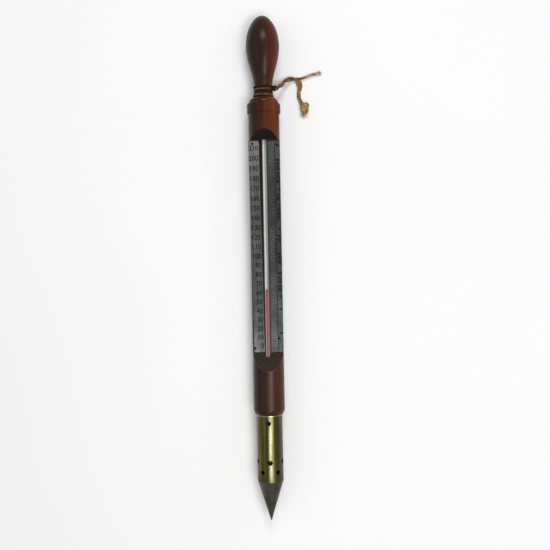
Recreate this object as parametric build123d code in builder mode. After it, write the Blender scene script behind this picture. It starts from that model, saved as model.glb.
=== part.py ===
"""Wood-cased spirit thermometer with a perforated brass bulb guard, lying on its back.

Frame: +Y runs from the brass point to the handle, +Z is the side the scale faces, and z = 0 is the
surface it lies on. A station is a distance from the point's tip, along the instrument's axis.
Millimetres throughout.
"""

import os
from math import cos, radians, sin, tan

from build123d import *

# Overall
total_length = 380.0
collar_radius = 12.6
grip_radius = 12.6
axis_height = max(collar_radius, grip_radius)  # the case rests on its widest turnings

# Stations along the axis
point_base = 30.6
spigot_end = 62.0
guard_top = 80.0
shoulder_top = 85.6
stock_top = 305.9
collar_top = 313.2
neck_station = 330.3
grip_widest = 357.0

# Stock
stock_radius = 11.65
shoulder_radius = 9.9
shoulder_bulge = (11.2, 82.0)  # radius and station of a point on the rounded shoulder
tenon_radius = 5.5
tenon_length = 9.0
flat_height = 3.0  # height of the flat over the instrument's axis
flat_stations = (126.6, 285.7)
upper_step_height = 6.0  # height over the axis to which the flat's upper end rises at once
ramp_stations = (113.4, 293.0)  # where the ramps come out at the round surface
cut_clearance = 4.0
nail_hole_radius = 0.8
nail_hole_place = (9.9, 124.4)  # x and station of an empty nail hole below the scale
nail_hole_depth = 2.5

# Glass stem and bulb, on an axis of their own over the instrument's axis
stem_height = 3.3
stem_radius = 1.7
stem_top = 289.6
stem_hole_radius = 2.1
stem_hole_end = 292.6
bore_radius = 0.8
bore_end = 285.1
bulb_radius = 3.5
bulb_stations = (38.0, 58.5)
bulb_shoulder = 55.5
bulb_wall = 0.7
enamel_width = 2.4
enamel_thickness = 0.2
enamel_depth = 1.05  # below the stem's own axis
enamel_start = 59.5
thread_foot = 59.0  # where the column starts, a little above the bulb
packing_radius = 3.6
packing_length = 8.0

# Spirit, at the reading the instrument is modelled with
spirit_radius = 0.75
meniscus_length = 1.5
meniscus_gap = 0.05
reading_degrees = 64.0
zero_station = 131.5  # station of 0 degrees Fahrenheit
degree_length = 0.6403  # millimetres per degree at zero
degree_growth = 0.00031  # added millimetres per degree squared

# Scale strips
scale_stations = (127.0, 285.4)
scale_thickness = 0.8
scale_corner = 0.8
left_strip = (-7.2, 7.9, 0.67)  # middle x, width, degrees it has turned about its middle
right_strip = (7.0, 9.2, 0.0)
pin_places = ((-9.0, 283.0), (-9.7, 129.9), (9.0, 282.4), (8.2, 137.1))  # x and station
pin_shank_radius = 0.5
pin_head_radius = 0.9
pin_head_height = 0.35
pin_depth = 4.0

# Brass guard
guard_radius = 9.73
guard_wall = 0.8
point_spigot_length = 5.0
point_spigot_wall = 1.0
point_hollow_depth = 3.0
tip_end = (0.5, 0.6)  # radius and station where the rounded tip meets the cone
tip_middle = (0.35, 0.18)
vents_per_row = 5
vent_rows = ((45.3, 0.0, 1.9), (37.8, 36.0, 1.6))  # station, turn from the front, vent radius
guard_pin_station = 74.5
guard_pin_radius = 1.8
guard_pin_turn = -4.0
guard_pin_recess = 0.25
guard_pin_length = 2.6

# Handle turning, as radius and station
collar_edge = 0.5
dome_foot = (11.3, 313.2)
dome_top = (6.7, 317.9)
lower_bead = (8.0, 319.6)
lower_groove = (5.8, 321.6)
upper_bead = (7.4, 324.0)
upper_groove = (6.1, 326.0)
groove_half_width = 0.9
groove_lip = 0.4
neck_radius = 7.2
dome_reaches = (3.4, 2.0)  # how far the dome's curve keeps its first and last directions
waist_reaches = (5.9, 11.0)  # the same for the curve from the neck to the grip
waist_flare = 0.4
crown_reaches = (0.6, 0.44)  # the same for the crown, as shares of its length and radius

# Twine
twine_radius = 1.0
pair_radius = 1.4
wrap_twine_radius = 0.8  # drawn tight
pair_route = [
    (8.6, 134.4, 12.4),
    (11.2, 136.2, 10.4),
    (14.4, 139.6, 7.2),
    (17.2, 143.3, 4.4),
    (21.4, 145.0, 2.3),
    (25.8, 144.9, 1.5),
]
upper_tail_route = [
    (25.8, 144.9, 1.5),
    (29.4, 145.3, 1.15),
    (33.6, 146.9, 1.05),
    (38.2, 148.5, 1.05),
    (42.6, 149.2, 1.05),
]
lower_tail_route = [
    (25.8, 144.9, 1.5),
    (27.6, 142.0, 1.2),
    (28.2, 138.5, 1.05),
    (27.4, 134.9, 1.05),
    (27.0, 131.4, 1.05),
    (28.2, 128.1, 1.25),
    (30.2, 125.2, 2.2),
]
knot_centre = (31.3, 122.2, 3.0)
knot_half_width = 3.0
knot_half_length = 4.8

stem_axis_height = axis_height + stem_height
inner_guard_radius = guard_radius - guard_wall
case_axis = Axis((0, 0, axis_height), (0, 1, 0))
stem_axis = Axis((0, 0, stem_axis_height), (0, 1, 0))
case_profile_plane = Plane.XY.offset(axis_height)
stem_profile_plane = Plane.XY.offset(stem_axis_height)


def along(station):
    """Y of a station."""
    return station - total_length / 2


def scale_station(degrees):
    """Station of a temperature on the scale."""
    return zero_station + degree_length * degrees + degree_growth * degrees**2


def cross_plane(station, height):
    """Plane across the instrument at a station, facing the handle, centred on a height."""
    return Plane(origin=(0, along(station), height), x_dir=(-1, 0, 0), z_dir=(0, 1, 0))


def radial_plane(station, turn, radius):
    """Plane facing outwards from the instrument's axis, turned from the front."""
    outward = (sin(radians(turn)), 0, cos(radians(turn)))
    origin = (radius * outward[0], along(station), axis_height + radius * outward[2])
    return Plane(origin=origin, x_dir=(0, 1, 0), z_dir=outward)


def bend_radii(route):
    """Arc radius at each inner point of a twine's route, as large as its two runs allow."""
    points = [Vector(*point) for point in route]
    radii = []
    for before, corner, after in zip(points, points[1:], points[2:]):
        first_run = corner - before
        second_run = after - corner
        half_turn = radians(first_run.get_angle(second_run) / 2)
        radii.append(0.45 * min(first_run.length, second_run.length) / tan(half_turn))
    return radii


def twine_path(name, route):
    """Straight runs joined by tangent arcs, with the arc radii printed."""
    radii = bend_radii(route)
    print(name, "bend radii", [round(radius, 1) for radius in radii])
    return FilletPolyline(*route, radius=radii)


def ring_groove(groove):
    """Arc of one twine groove, in the turning's profile."""
    radius, station = groove
    return ThreePointArc(
        (radius + groove_lip, along(station - groove_half_width)),
        (radius, along(station)),
        (radius + groove_lip, along(station + groove_half_width)),
    )


def bulb_outline(wall, throat_radius, last_station):
    """Closed half outline of the bulb and a straight throat above it, a wall inside the glass."""
    radius = bulb_radius - wall
    first = bulb_stations[0] + wall
    diagonal = radius * cos(radians(45))
    round_end = ThreePointArc(
        (0, along(first)),
        (diagonal, along(first + radius - diagonal)),
        (radius, along(first + radius)),
    )
    Polyline(
        round_end @ 1,
        (radius, along(bulb_shoulder)),
        (throat_radius, along(bulb_stations[1])),
        (throat_radius, along(last_station)),
        (0, along(last_station)),
        (0, along(first)),
    )


reading_station = scale_station(reading_degrees)
enamel_plane = cross_plane(enamel_start, stem_axis_height - enamel_depth)
ramp_rise = stock_radius - flat_height
lower_slope = ramp_rise / (flat_stations[0] - ramp_stations[0])
upper_slope = (stock_radius - upper_step_height) / (ramp_stations[1] - flat_stations[1])
cut_height = stock_radius + cut_clearance
lower_cut_end = flat_stations[0] - (cut_height - flat_height) / lower_slope
upper_cut_end = flat_stations[1] + (cut_height - upper_step_height) / upper_slope
pin_foot = axis_height + flat_height - pin_depth
guard_pin_floor = guard_radius - guard_pin_recess - guard_pin_length

# Stock: a turned bar with a flat, two ramps, the stem's hole and groove, and its spigot and socket
with BuildPart() as stock:
    with BuildSketch(case_profile_plane):
        with BuildLine():
            spigot = Polyline(
                (0, along(spigot_end)),
                (inner_guard_radius, along(spigot_end)),
                (inner_guard_radius, along(guard_top)),
                (shoulder_radius, along(guard_top)),
            )
            shoulder = ThreePointArc(
                spigot @ 1,
                (shoulder_bulge[0], along(shoulder_bulge[1])),
                (stock_radius, along(shoulder_top)),
            )
            Polyline(
                shoulder @ 1,
                (stock_radius, along(stock_top)),
                (tenon_radius, along(stock_top)),
                (tenon_radius, along(stock_top - tenon_length)),
                (0, along(stock_top - tenon_length)),
                (0, along(spigot_end)),
            )
        make_face()
    revolve(axis=case_axis)
    with BuildSketch(Plane.YZ):
        with BuildLine():
            Polyline(
                (along(flat_stations[0]), axis_height + flat_height),
                (along(flat_stations[1]), axis_height + flat_height),
                (along(flat_stations[1]), axis_height + upper_step_height),
                (along(upper_cut_end), axis_height + cut_height),
                (along(lower_cut_end), axis_height + cut_height),
                close=True,
            )
        make_face()
    extrude(amount=2 * stock_radius, both=True, mode=Mode.SUBTRACT)
    with BuildSketch(cross_plane(spigot_end, stem_axis_height)):
        Circle(stem_hole_radius)
    extrude(amount=stem_hole_end - spigot_end, mode=Mode.SUBTRACT)
    with BuildSketch(cross_plane(spigot_end, stem_axis_height)):
        Circle(packing_radius)
    extrude(amount=packing_length, mode=Mode.SUBTRACT)
    for side in (0, 180):
        with BuildSketch(radial_plane(guard_pin_station, guard_pin_turn + side, guard_pin_floor)):
            Circle(guard_pin_radius)
        extrude(amount=guard_radius, mode=Mode.SUBTRACT)
    with BuildSketch(Plane.XY.offset(pin_foot)):
        with Locations(*[(x, along(station)) for x, station in pin_places]):
            Circle(pin_shank_radius)
    extrude(amount=pin_depth, mode=Mode.SUBTRACT)
    nail_x, nail_station = nail_hole_place
    with BuildSketch(Plane.XY.offset(axis_height + flat_height - nail_hole_depth / 2)):
        with Locations((nail_x, along(nail_station))):
            Circle(nail_hole_radius)
    extrude(amount=cut_height, mode=Mode.SUBTRACT)

# Handle: collar, dome, two beads, neck and pear-shaped grip, with the tenon that holds it
crown_length = total_length - grip_widest
with BuildPart() as handle:
    with BuildSketch(case_profile_plane):
        with BuildLine():
            collar = Polyline(
                (0, along(stock_top - tenon_length)),
                (tenon_radius, along(stock_top - tenon_length)),
                (tenon_radius, along(stock_top)),
                (collar_radius - collar_edge, along(stock_top)),
                (collar_radius, along(stock_top + collar_edge)),
                (collar_radius, along(collar_top - collar_edge)),
                (collar_radius - collar_edge, along(collar_top)),
                (dome_foot[0], along(dome_foot[1])),
            )
            dome = Bezier(
                collar @ 1,
                (dome_foot[0], along(dome_foot[1] + dome_reaches[0])),
                (dome_top[0] + dome_reaches[1], along(dome_top[1])),
                (dome_top[0], along(dome_top[1])),
            )
            first_groove = ring_groove(lower_groove)
            second_groove = ring_groove(upper_groove)
            ThreePointArc(dome @ 1, (lower_bead[0], along(lower_bead[1])), first_groove @ 0)
            ThreePointArc(
                first_groove @ 1,
                (upper_bead[0], along(upper_bead[1])),
                second_groove @ 0,
            )
            Line(second_groove @ 1, (neck_radius, along(neck_station)))
            Bezier(
                (neck_radius, along(neck_station)),
                (neck_radius + waist_flare, along(neck_station + waist_reaches[0])),
                (grip_radius, along(grip_widest - waist_reaches[1])),
                (grip_radius, along(grip_widest)),
            )
            Bezier(
                (grip_radius, along(grip_widest)),
                (grip_radius, along(grip_widest + crown_reaches[0] * crown_length)),
                (crown_reaches[1] * grip_radius, along(total_length)),
                (0, along(total_length)),
            )
            Line((0, along(total_length)), (0, along(stock_top - tenon_length)))
        make_face()
    revolve(axis=case_axis)


def scale_strip(strip):
    """One engraved strip on the stock's flat, with the holes of its two pins."""
    middle_x, width, turn = strip
    length = scale_stations[1] - scale_stations[0]
    middle_y = along(sum(scale_stations) / 2)
    long_way = (cos(radians(turn)), sin(radians(turn)), 0)
    plane = Plane(origin=(middle_x, middle_y, axis_height + flat_height), x_dir=long_way, z_dir=(0, 0, 1))
    own_pins = [(x, along(station)) for x, station in pin_places if x * middle_x > 0]
    with BuildPart() as made:
        with BuildSketch(plane):
            RectangleRounded(width, length, scale_corner)
        extrude(amount=scale_thickness)
        with BuildSketch(Plane.XY.offset(axis_height + flat_height)):
            with Locations(*own_pins):
                Circle(pin_shank_radius)
        extrude(amount=scale_thickness, mode=Mode.SUBTRACT)
    return made


scale_plate_left = scale_strip(left_strip)
scale_plate_right = scale_strip(right_strip)

# Four round-headed pins through the strips into the wood
with BuildPart() as plate_pins:
    for x, station in pin_places:
        with BuildSketch(Plane(origin=(x, along(station), pin_foot))):
            Circle(pin_shank_radius)
        extrude(amount=pin_depth + scale_thickness)
        head_seat = axis_height + flat_height + scale_thickness
        with BuildSketch(Plane(origin=(x, along(station), head_seat))):
            Circle(pin_head_radius)
        extrude(amount=pin_head_height, taper=35)

# Glass: stem and bulb in one piece, with the capillary, the bulb's hollow and the enamel's slot
with BuildPart() as glass_tube:
    with BuildSketch(stem_profile_plane):
        with BuildLine():
            bulb_outline(0, stem_radius, stem_top)
        make_face()
    revolve(axis=stem_axis)
    with BuildSketch(stem_profile_plane):
        with BuildLine():
            bulb_outline(bulb_wall, bore_radius, bore_end)
        make_face()
    revolve(axis=stem_axis, mode=Mode.SUBTRACT)
    with BuildSketch(enamel_plane):
        Rectangle(enamel_width, enamel_thickness)
    extrude(amount=stem_top - enamel_start, mode=Mode.SUBTRACT)

# White enamel drawn into the back of the stem, along its whole length
with BuildPart() as enamel_backing:
    with BuildSketch(enamel_plane):
        Rectangle(enamel_width, enamel_thickness)
    extrude(amount=stem_top - enamel_start)

# Spirit that fills the bulb
with BuildPart() as bulb_spirit:
    with BuildSketch(stem_profile_plane):
        with BuildLine():
            bulb_outline(bulb_wall, bore_radius, thread_foot)
        make_face()
    revolve(axis=stem_axis)

# Spirit column in the capillary, which lengthens and shortens with the reading
thread_top = reading_station - meniscus_length - meniscus_gap
with BuildPart() as spirit_thread:
    with BuildSketch(cross_plane(thread_foot, stem_axis_height)):
        Circle(spirit_radius)
    extrude(amount=thread_top - thread_foot)

# Top of the column, which is read against the scale
with BuildPart() as spirit_meniscus:
    with BuildSketch(cross_plane(reading_station - meniscus_length, stem_axis_height)):
        Circle(spirit_radius)
    extrude(amount=meniscus_length)

# Cork ring that packs the stem into the spigot
with BuildPart() as stem_packing:
    with BuildSketch(cross_plane(spigot_end, stem_axis_height)):
        Circle(packing_radius)
        Circle(stem_radius, mode=Mode.SUBTRACT)
    extrude(amount=packing_length)

# Guard tube with two rows of vents and two pin holes
with BuildPart() as guard_tube:
    with BuildSketch(cross_plane(point_base, axis_height)):
        Circle(guard_radius)
        Circle(inner_guard_radius, mode=Mode.SUBTRACT)
    extrude(amount=guard_top - point_base)
    for row_station, row_turn, vent_radius in vent_rows:
        for vent in range(vents_per_row):
            turn = row_turn + vent * 360 / vents_per_row
            with BuildSketch(radial_plane(row_station, turn, guard_radius / 2)):
                Circle(vent_radius)
            extrude(amount=guard_radius, mode=Mode.SUBTRACT)
    for side in (0, 180):
        with BuildSketch(radial_plane(guard_pin_station, guard_pin_turn + side, guard_radius / 2)):
            Circle(guard_pin_radius)
        extrude(amount=guard_radius, mode=Mode.SUBTRACT)

# Cone point, turned with a hollow spigot that plugs the guard tube
hollow_radius = inner_guard_radius - point_spigot_wall
hollow_floor = point_base - point_hollow_depth
with BuildPart() as guard_point:
    with BuildSketch(case_profile_plane):
        with BuildLine():
            tip = ThreePointArc(
                (0, along(0)),
                (tip_middle[0], along(tip_middle[1])),
                (tip_end[0], along(tip_end[1])),
            )
            Polyline(
                tip @ 1,
                (guard_radius, along(point_base)),
                (inner_guard_radius, along(point_base)),
                (inner_guard_radius, along(point_base + point_spigot_length)),
                (hollow_radius, along(point_base + point_spigot_length)),
                (hollow_radius, along(point_base)),
                (hollow_radius - point_hollow_depth, along(hollow_floor)),
                (0, along(hollow_floor)),
                (0, along(0)),
            )
        make_face()
    revolve(axis=case_axis)

# Two iron pins that hold the guard on the spigot, a little below its surface
with BuildPart() as guard_pins:
    for side in (0, 180):
        with BuildSketch(radial_plane(guard_pin_station, guard_pin_turn + side, guard_pin_floor)):
            Circle(guard_pin_radius)
        extrude(amount=guard_pin_length)

# Twine: a turn in each groove of the neck
with BuildPart() as twine_wraps:
    with BuildSketch(case_profile_plane):
        for radius, station in (lower_groove, upper_groove):
            with Locations((radius + wrap_twine_radius, along(station))):
                Circle(wrap_twine_radius)
    revolve(axis=case_axis)


def twine_run(name, route, radius):
    """Round tube along one free run of twine."""
    with BuildPart() as run:
        with BuildLine():
            path = twine_path(name, route)
        with BuildSketch(path ^ 0):
            Circle(radius)
        sweep(path=path)
    return run


# The two ends twisted together, then each on its own
twine_pair = twine_run("twine_pair", pair_route, pair_radius)
twine_upper_tail = twine_run("twine_upper_tail", upper_tail_route, twine_radius)
twine_lower_tail = twine_run("twine_lower_tail", lower_tail_route, twine_radius)

# Knot at the end of the lower tail
with BuildPart() as twine_knot:
    with BuildSketch(Plane(origin=knot_centre)):
        Ellipse(knot_half_width, knot_half_length)
        with Locations((-knot_half_width, 0)):
            Rectangle(2 * knot_half_width, 2 * knot_half_length, mode=Mode.SUBTRACT)
    revolve(axis=Axis(knot_centre, (0, 1, 0)))

pieces = {
    "stock": stock,
    "handle": handle,
    "scale_plate_left": scale_plate_left,
    "scale_plate_right": scale_plate_right,
    "plate_pins": plate_pins,
    "glass_tube": glass_tube,
    "enamel_backing": enamel_backing,
    "bulb_spirit": bulb_spirit,
    "spirit_thread": spirit_thread,
    "spirit_meniscus": spirit_meniscus,
    "stem_packing": stem_packing,
    "guard_tube": guard_tube,
    "guard_point": guard_point,
    "guard_pins": guard_pins,
    "twine_wraps": twine_wraps,
    "twine_pair": twine_pair,
    "twine_upper_tail": twine_upper_tail,
    "twine_lower_tail": twine_lower_tail,
    "twine_knot": twine_knot,
}
os.makedirs("parts", exist_ok=True)
for name, piece in pieces.items():
    piece.part.label = name
    export_step(piece.part, f"parts/{name}.step")
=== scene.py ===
import math

import bpy
import numpy as np
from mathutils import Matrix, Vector
from mathutils.geometry import delaunay_2d_cdt, interpolate_bezier


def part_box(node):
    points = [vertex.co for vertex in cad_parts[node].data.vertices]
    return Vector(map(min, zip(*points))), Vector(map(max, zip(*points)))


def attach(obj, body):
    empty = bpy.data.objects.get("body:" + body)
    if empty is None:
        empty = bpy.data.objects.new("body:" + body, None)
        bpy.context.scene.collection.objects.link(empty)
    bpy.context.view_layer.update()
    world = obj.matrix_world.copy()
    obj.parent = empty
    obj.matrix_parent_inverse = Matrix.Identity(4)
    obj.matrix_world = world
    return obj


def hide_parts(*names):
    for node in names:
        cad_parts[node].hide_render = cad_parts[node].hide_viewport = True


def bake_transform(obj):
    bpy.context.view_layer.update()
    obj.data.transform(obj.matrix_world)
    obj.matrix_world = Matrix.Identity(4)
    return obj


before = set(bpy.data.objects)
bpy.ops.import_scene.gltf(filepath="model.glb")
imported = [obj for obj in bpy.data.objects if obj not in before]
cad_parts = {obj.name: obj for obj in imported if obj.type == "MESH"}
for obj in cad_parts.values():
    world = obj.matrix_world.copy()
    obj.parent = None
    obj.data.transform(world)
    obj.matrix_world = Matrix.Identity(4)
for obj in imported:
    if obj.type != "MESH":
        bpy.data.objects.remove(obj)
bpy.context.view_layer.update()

MM = 0.001
SEED = 7

# Places read from the frame
guard_low, guard_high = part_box("guard_tube")
point_low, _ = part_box("guard_point")
left_low, left_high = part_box("scale_plate_left")
glass_low, glass_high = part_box("glass_tube")
thread_low, thread_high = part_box("spirit_thread")
wraps_low, wraps_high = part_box("twine_wraps")
knot_low, knot_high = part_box("twine_knot")
axis_z = (guard_low.z + guard_high.z) / 2
tip_y = point_low.y
stem_z = (glass_low.z + glass_high.z) / 2


# ---------------------------------------------------------------- camera, floor and light

PICTURE_WIDTH = 414.7 * MM  # width of the view at the instrument's axis
CAMERA_HEIGHT = 528 * MM  # over the instrument's axis
CAMERA_PLACE = (6.16 * MM, -5.45 * MM)
CAMERA_TURN = -0.0194
SENSOR = 36.0


def add_camera():
    data = bpy.data.cameras.new("camera")
    data.sensor_width = SENSOR
    data.lens = SENSOR * CAMERA_HEIGHT / PICTURE_WIDTH
    data.clip_start = 0.01
    camera = bpy.data.objects.new("camera", data)
    camera.location = (*CAMERA_PLACE, axis_z + CAMERA_HEIGHT)
    camera.rotation_euler = (0, 0, CAMERA_TURN)
    bpy.context.scene.collection.objects.link(camera)
    bpy.context.scene.camera = camera


def add_light(name, place, size, power):
    """A rectangular soft light that faces the instrument's middle. Its place and size are in metres, the
    size's second side along the instrument, and its power in watts."""
    data = bpy.data.lights.new(name, "AREA")
    data.shape = "RECTANGLE"
    data.size, data.size_y = size
    data.energy = power
    light = bpy.data.objects.new(name, data)
    light.location = place
    light.rotation_euler = (-Vector(place)).to_track_quat("-Z", "X").to_euler()
    bpy.context.scene.collection.objects.link(light)


add_camera()
add_light("overhead_softbox", (0.27, -0.34, 1.1), (0.36, 0.80), 6.95)
add_light("left_panel", (-0.9, 0.1, 0.75), (0.9, 1.4), 1.1)
add_light("end_lamp", (0.08, 0.80, 0.95), (0.20, 0.50), 4.8)
world = bpy.data.worlds.new("world")
world.use_nodes = True
world.node_tree.nodes["Background"].inputs["Color"].default_value = (1, 1, 1, 1)
world.node_tree.nodes["Background"].inputs["Strength"].default_value = 0.37
bpy.context.scene.world = world
bpy.context.scene.view_settings.view_transform = "Standard"


# ---------------------------------------------------------------- materials

class Surface:
    """A node material with a Principled shader, and short ways to add textures to it."""

    def __init__(self, name, colour, roughness, metallic=0.0, **more):
        self.material = bpy.data.materials.new(name)
        self.material.use_nodes = True
        self.tree = self.material.node_tree
        self.shader = self.tree.nodes["Principled BSDF"]
        self.shader.inputs["Base Color"].default_value = (*colour, 1)
        self.shader.inputs["Roughness"].default_value = roughness
        self.shader.inputs["Metallic"].default_value = metallic
        for socket, value in more.items():
            self.shader.inputs[socket.replace("_", " ")].default_value = value
        self.place = self.node("ShaderNodeTexCoord").outputs["Object"]

    def node(self, kind, **values):
        """A new node; each value is one of its properties or, if it has none by that name, an input."""
        made = self.tree.nodes.new(kind)
        for key, value in values.items():
            if hasattr(made, key):
                setattr(made, key, value)
            else:
                made.inputs[key.replace("_", " ")].default_value = value
        return made

    def link(self, a, b):
        self.tree.links.new(a, b)

    def stretched(self, scale):
        """Object coordinates scaled along each axis."""
        mapping = self.node("ShaderNodeMapping", Scale=scale)
        self.link(self.place, mapping.inputs["Vector"])
        return mapping.outputs["Vector"]

    def noise(self, scale, detail=4.0, roughness=0.55, distortion=0.0):
        """Noise whose features are 1/scale metres along each axis."""
        noise = self.node(
            "ShaderNodeTexNoise", Scale=1.0, Detail=detail, Roughness=roughness, Distortion=distortion
        )
        self.link(self.stretched(scale), noise.inputs["Vector"])
        return noise.outputs["Fac"]

    def ramp(self, factor, *stops):
        """Colour ramp; stops are (position, colour or grey)."""
        ramp = self.node("ShaderNodeValToRGB")
        elements = ramp.color_ramp.elements
        while len(elements) < len(stops):
            elements.new(0.5)
        for element, (position, colour) in zip(elements, stops):
            element.position = position
            grey = not hasattr(colour, "__len__")
            element.color = (colour, colour, colour, 1) if grey else (*colour, 1)
        self.link(factor, ramp.inputs["Fac"])
        return ramp.outputs["Color"]

    def mix(self, factor, a, b, blend="MIX"):
        mixer = self.node("ShaderNodeMix", data_type="RGBA", blend_type=blend)
        for value, socket in ((factor, mixer.inputs[0]), (a, mixer.inputs[6]), (b, mixer.inputs[7])):
            if isinstance(value, bpy.types.NodeSocket):
                self.link(value, socket)
            elif hasattr(value, "__len__"):
                socket.default_value = (*value, 1)
            else:
                socket.default_value = value
        return mixer.outputs[2]

    def math(self, operation, a, b):
        made = self.node("ShaderNodeMath", operation=operation)
        for value, socket in ((a, made.inputs[0]), (b, made.inputs[1])):
            if isinstance(value, bpy.types.NodeSocket):
                self.link(value, socket)
            else:
                socket.default_value = value
        return made.outputs[0]

    def split(self, vector):
        """The X, Y and Z of a vector."""
        made = self.node("ShaderNodeSeparateXYZ")
        self.link(vector, made.inputs[0])
        return made.outputs

    def share(self, value, low, high):
        """0 where a value is low or less, and 1 where it is high or more."""
        made = self.node("ShaderNodeMapRange")
        self.link(value, made.inputs["Value"])
        made.inputs["From Min"].default_value = low
        made.inputs["From Max"].default_value = high
        return made.outputs["Result"]

    def across(self, low, high, wander=0.0, scale=(60, 12, 60)):
        """0 at x = low and 1 at x = high, with a border that wanders along the grain."""
        share = self.share(self.split(self.place)[0], low, high)
        if not wander:
            return share
        drift = self.math("MULTIPLY", self.math("SUBTRACT", self.noise(scale, detail=3), 0.5), wander)
        return self.math("ADD", share, drift)

    def colour(self, socket):
        self.link(socket, self.shader.inputs["Base Color"])

    def rough(self, socket):
        self.link(socket, self.shader.inputs["Roughness"])

    def bump(self, height, distance, strength=1.0):
        bump = self.node("ShaderNodeBump", Strength=strength, Distance=distance)
        self.link(height, bump.inputs["Height"])
        self.link(bump.outputs["Normal"], self.shader.inputs["Normal"])


WOOD_REACH = 12.6 * MM  # half the width of the grip
GUARD_RADIUS = 9.73 * MM
STEM_RADIUS = 1.7 * MM
BACKING_REACH = 1.2 * MM
COLUMN_REACH = 1.25 * MM  # half the column's width as the round stem enlarges it
# Tones of the wood from left to right: the dark left and the lighter, redder right are painted shade and
# painted light.
GRIP_PAINTED_LIGHT_TONES = (
    (0.00, (0.024, 0.018, 0.012)),
    (0.32, (0.018, 0.009, 0.006)),
    (0.55, (0.028, 0.009, 0.006)),
    (0.80, (0.080, 0.014, 0.005)),
    (0.95, (0.044, 0.011, 0.007)),
)
COLLAR_PAINTED_LIGHT_TONES = (
    (0.02, (0.022, 0.014, 0.010)),
    (0.28, (0.024, 0.006, 0.003)),
    (0.50, (0.058, 0.012, 0.006)),
    (0.78, (0.140, 0.030, 0.003)),
    (0.96, (0.045, 0.012, 0.003)),
)
FOOT_PAINTED_LIGHT_TONES = (
    (0.00, (0.014, 0.009, 0.006)),
    (0.35, (0.028, 0.011, 0.007)),
    (0.60, (0.042, 0.017, 0.011)),
    (0.82, (0.062, 0.021, 0.011)),
    (0.97, (0.040, 0.018, 0.010)),
)
# Stations between which the foot's tones give way to the collar's, and those to the grip's
FOOT_TO_COLLAR = (-60 * MM, 60 * MM)
COLLAR_TO_GRIP = (124 * MM, 142 * MM)


def wood(name):
    """Dark lacquered turned wood: painted shade on its left and painted light on its redder right, with a
    wandering border, tones that change along it, faint grain, soft gloss.
    """
    s = Surface(name, (0.05, 0.02, 0.01), 0.4, Specular_IOR_Level=0.16, Coat_Weight=0.13, Coat_Roughness=0.2)
    s.shader.inputs["Specular Tint"].default_value = (1.0, 0.75, 0.6, 1)
    # Ramp position across the case, from the painted shade on the left to the painted light on the right.
    painted_light_across = s.across(-WOOD_REACH, WOOD_REACH, 0.10)
    along = s.split(s.place)[1]
    grip, collar, foot = (s.ramp(painted_light_across, *tones) for tones in (GRIP_PAINTED_LIGHT_TONES, COLLAR_PAINTED_LIGHT_TONES, FOOT_PAINTED_LIGHT_TONES))
    base = s.mix(s.share(along, *FOOT_TO_COLLAR), foot, collar)
    base = s.mix(s.share(along, *COLLAR_TO_GRIP), base, grip)
    grain = s.noise((1300, 22, 1300), detail=6, roughness=0.6, distortion=0.3)
    figure = s.noise((150, 16, 150), detail=3, distortion=0.8)
    base = s.mix(0.55, base, s.ramp(grain, (0.30, 0.55), (0.70, 1.5)), "MULTIPLY")
    base = s.mix(0.7, base, s.ramp(figure, (0.3, 0.55), (0.7, 1.5)), "MULTIPLY")
    pores = s.ramp(s.noise((5200, 330, 5200), detail=2), (0.62, 0.0), (0.68, 1.0))
    base = s.mix(s.math("MULTIPLY", pores, 0.7), base, (0.006, 0.004, 0.003))
    s.rough(s.ramp(s.noise((420, 260, 420), detail=5), (0.3, 0.28), (0.72, 0.52)))
    s.bump(s.mix(0.4, s.ramp(grain, (0, 0.0), (1, 1.0)), pores, "SUBTRACT"), 0.03 * MM)
    s.colour(base)
    return s, base


# The ramps at the ends of the stock's flat: foot y and z, rise per length and the way they face,
# then two tones and how strong the pale line round each is, standing for wear and a painted highlight on the
# edge
RAMPS = (
    (
        (tip_y + 126.6 * MM, axis_z + 3.0 * MM, -8.65 / 13.2, 1),
        (0.011, 0.009, 0.007), (0.024, 0.019, 0.015), 0.8,
    ),
    (
        (tip_y + 285.7 * MM, axis_z + 6.0 * MM, 5.65 / 7.3, -1),
        (0.004, 0.003, 0.0025), (0.012, 0.009, 0.007), 0.2,
    ),
)
SLOT_HALF_WIDTH = 3.9 * MM


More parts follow.
